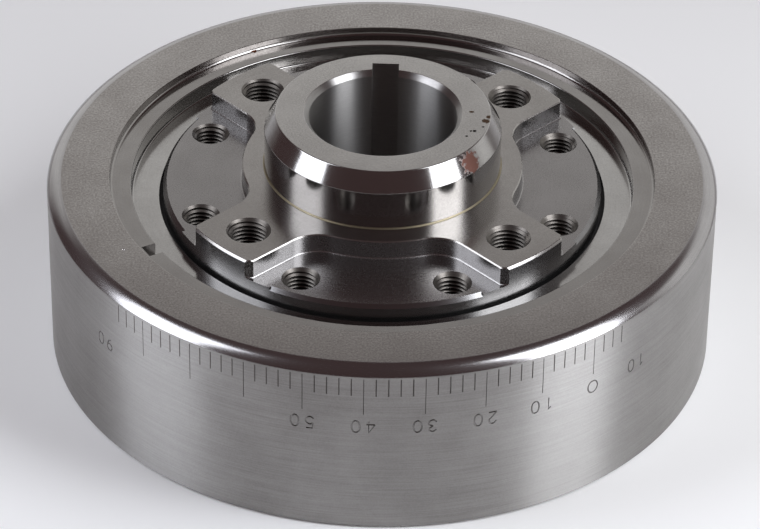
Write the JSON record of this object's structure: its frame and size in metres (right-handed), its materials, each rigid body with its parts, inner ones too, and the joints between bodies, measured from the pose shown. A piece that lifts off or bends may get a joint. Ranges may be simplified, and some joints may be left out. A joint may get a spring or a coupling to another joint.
{
  "type": "harmonic balancer",
  "caption": "Crankshaft harmonic balancer: keyed steel hub with a four-armed tapped flange, thin rubber band and a heavy inertia ring with a degree scale.",
  "frame": {"origin": "on the crank axis, in the plane of the inertia ring's rear face", "axes": "+Z along the crank axis towards the engine side, where the hub's boss points; +Y through the keyway; the front of the balancer faces -Z"},
  "size_m": [0.1588, 0.1588, 0.0612],
  "materials": {
    "hub_steel": "machined and lightly polished",
    "ring_steel": "fine turned",
    "damper_rubber": "matt moulded"
  },
  "bodies": {
    "root": {"hub": "hub_steel", "inertia_ring": "ring_steel", "elastomer_ring": "damper_rubber"}
  },
  "joints": []
}
